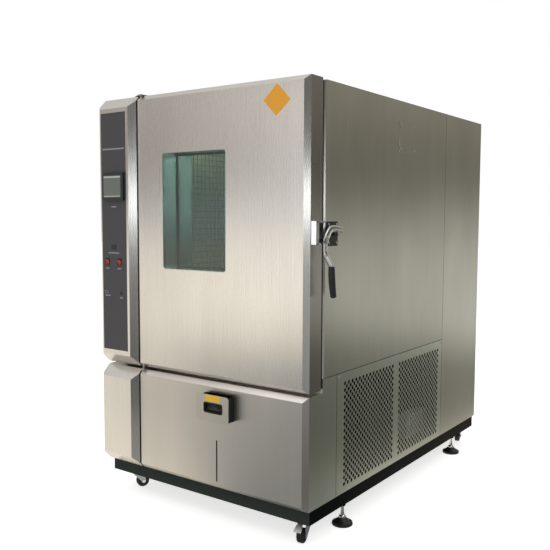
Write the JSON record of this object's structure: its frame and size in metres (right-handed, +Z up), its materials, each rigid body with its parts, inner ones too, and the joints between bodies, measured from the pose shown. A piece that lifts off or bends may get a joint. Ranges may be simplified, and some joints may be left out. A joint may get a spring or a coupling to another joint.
{
  "type": "climatic test chamber",
  "caption": "Large free-standing climatic test chamber: insulated cabinet, hinged door with a window and lever latch, control column, water drawer, casters and levelling feet.",
  "frame": {"origin": "on the floor, at the middle of the bounding box of the whole chamber at rest", "axes": "+X to the right seen from the front, +Y to the back, +Z up; the door faces -Y"},
  "size_m": [1.289, 1.9536, 1.956],
  "materials": {
    "brushed_panel": "satin",
    "bright_steel": "satin",
    "chromed": "polished",
    "base_paint": "matte",
    "caster_steel": "satin",
    "fascia_dark": "matte",
    "black_plastic": "satin",
    "red_plastic": "gloss",
    "pale_box": "matte",
    "compressor_paint": "satin",
    "screen_glass": "gloss",
    "window_pane": "gloss",
    "seal_rubber": "matte",
    "wheel_tread": "matte",
    "foot_plastic": "satin",
    "insulation_wool": "matte"
  },
  "bodies": {
    "cabinet": {"base_frame": "base_paint", "side_panel_right": "brushed_panel", "rear_bay_panel_right": "brushed_panel", "front_post_right": "brushed_panel", "service_panel": "brushed_panel", "cover_plate": "brushed_panel", "panel_screws": "bright_steel", "top_panel": "brushed_panel", "side_panel_left": "brushed_panel", "rear_panel": "brushed_panel", "power_gland": "black_plastic", "inner_liner": "bright_steel", "cabinet_insulation": "insulation_wool", "front_frame": "brushed_panel", "shelf_standards": "bright_steel", "air_duct_grille": "bright_steel", "column_upper_shell": "brushed_panel", "column_lower_shell": "brushed_panel", "control_fascia": "fascia_dark", "touch_panel_bezel": "black_plastic", "touch_panel_screen": "screen_glass", "counter_display": "black_plastic", "rocker_frames": "black_plastic", "data_socket": "black_plastic", "alarm_buzzer": "black_plastic", "lower_front_panel": "brushed_panel", "sight_glass": "window_pane", "hinge_bracket_top": "bright_steel", "hinge_bracket_bottom": "bright_steel", "latch_strike": "chromed", "compressor": "compressor_paint", "junction_box": "pale_box"},
    "door": {"door_shell": "brushed_panel", "door_core": "insulation_wool", "door_liner": "brushed_panel", "window_frame": "bright_steel", "window_glass": "window_pane", "door_gasket": "seal_rubber", "latch_housing": "chromed"},
    "lever": {"latch_lever": "chromed", "latch_grip": "black_plastic"},
    "drawer": {"drawer_tray": "black_plastic", "drawer_front": "bright_steel", "drawer_pull": "black_plastic"},
    "rocker_switch_left": {"rocker_left": "red_plastic"},
    "rocker_switch_right": {"rocker_right": "red_plastic"},
    "caster_front_right": {"caster_fork_front_right": "caster_steel"},
    "wheel_front_right": {"caster_wheel_front_right": "wheel_tread"},
    "pedal_front_right": {"brake_pedal_front_right": "chromed"},
    "caster_front_left": {"caster_fork_front_left": "caster_steel"},
    "wheel_front_left": {"caster_wheel_front_left": "wheel_tread"},
    "pedal_front_left": {"brake_pedal_front_left": "chromed"},
    "caster_rear_right": {"caster_fork_rear_right": "caster_steel"},
    "wheel_rear_right": {"caster_wheel_rear_right": "wheel_tread"},
    "caster_rear_left": {"caster_fork_rear_left": "caster_steel"},
    "wheel_rear_left": {"caster_wheel_rear_left": "wheel_tread"},
    "foot_front_right": {"levelling_foot_front_right": "foot_plastic"},
    "foot_front_left": {"levelling_foot_front_left": "foot_plastic"},
    "foot_rear_right": {"levelling_foot_rear_right": "foot_plastic"},
    "foot_rear_left": {"levelling_foot_rear_left": "foot_plastic"}
  },
  "joints": [
    {"name": "door_hinge", "type": "hinge", "parent": "cabinet", "child": "door", "pos_m": [-0.3745, -0.92125, 1.3075], "axis": [0, 0, 1], "range_deg": [-110, 0]},
    {"name": "latch_lever_turn", "type": "hinge", "parent": "door", "child": "lever", "pos_m": [0.6065, -0.85525, 1.296], "axis": [1, 0, 0], "range_deg": [0, 75]},
    {"name": "drawer_slide", "type": "slide", "parent": "cabinet", "child": "drawer", "axis": [0, 1, 0], "range_m": [-0.2, 0.037]},
    {"name": "rocker_left_press", "type": "hinge", "parent": "cabinet", "child": "rocker_switch_left", "pos_m": [-0.5745, -0.96245, 1.168], "axis": [1, 0, 0], "range_deg": [-20, 0]},
    {"name": "rocker_right_press", "type": "hinge", "parent": "cabinet", "child": "rocker_switch_right", "pos_m": [-0.4915, -0.96245, 1.168], "axis": [1, 0, 0], "range_deg": [-20, 0]},
    {"name": "caster_swivel_front_right", "type": "hinge", "parent": "cabinet", "child": "caster_front_right", "pos_m": [0.4915, -0.81525, 0.097], "axis": [0, 0, 1], "continuous": true},
    {"name": "caster_roll_front_right", "type": "hinge", "parent": "caster_front_right", "child": "wheel_front_right", "pos_m": [0.49651, -0.84686, 0.032], "axis": [0.9877, 0.1564, 0], "continuous": true},
    {"name": "brake_press_front_right", "type": "hinge", "parent": "caster_front_right", "child": "pedal_front_right", "pos_m": [0.49432, -0.83303, 0.084], "axis": [0.9877, 0.1564, 0], "range_deg": [0, 15]},
    {"name": "caster_swivel_front_left", "type": "hinge", "parent": "cabinet", "child": "caster_front_left", "pos_m": [-0.5485, -0.81525, 0.097], "axis": [0, 0, 1], "continuous": true},
    {"name": "caster_roll_front_left", "type": "hinge", "parent": "caster_front_left", "child": "wheel_front_left", "pos_m": [-0.53348, -0.787, 0.032], "axis": [-0.8829, 0.4695, 0], "continuous": true},
    {"name": "brake_press_front_left", "type": "hinge", "parent": "caster_front_left", "child": "pedal_front_left", "pos_m": [-0.54005, -0.79936, 0.084], "axis": [-0.8829, 0.4695, 0], "range_deg": [0, 15]},
    {"name": "caster_swivel_rear_right", "type": "hinge", "parent": "cabinet", "child": "caster_rear_right", "pos_m": [0.4915, 0.88175, 0.097], "axis": [0, 0, 1], "continuous": true},
    {"name": "caster_roll_rear_right", "type": "hinge", "parent": "caster_rear_right", "child": "wheel_rear_right", "pos_m": [0.48322, 0.91266, 0.032], "axis": [-0.9659, -0.2588, 0], "continuous": true},
    {"name": "caster_swivel_rear_left", "type": "hinge", "parent": "cabinet", "child": "caster_rear_left", "pos_m": [-0.5485, 0.88175, 0.097], "axis": [0, 0, 1], "continuous": true},
    {"name": "caster_roll_rear_left", "type": "hinge", "parent": "caster_rear_left", "child": "wheel_rear_left", "pos_m": [-0.5325, 0.90946, 0.032], "axis": [-0.866, 0.5, 0], "continuous": true},
    {"name": "foot_screw_front_right", "type": "slide", "parent": "cabinet", "child": "foot_front_right", "axis": [0, 0, 1], "range_m": [0, 0.024]},
    {"name": "foot_screw_front_left", "type": "slide", "parent": "cabinet", "child": "foot_front_left", "axis": [0, 0, 1], "range_m": [0, 0.024]},
    {"name": "foot_screw_rear_right", "type": "slide", "parent": "cabinet", "child": "foot_rear_right", "axis": [0, 0, 1], "range_m": [0, 0.024]},
    {"name": "foot_screw_rear_left", "type": "slide", "parent": "cabinet", "child": "foot_rear_left", "axis": [0, 0, 1], "range_m": [0, 0.024]}
  ]
}
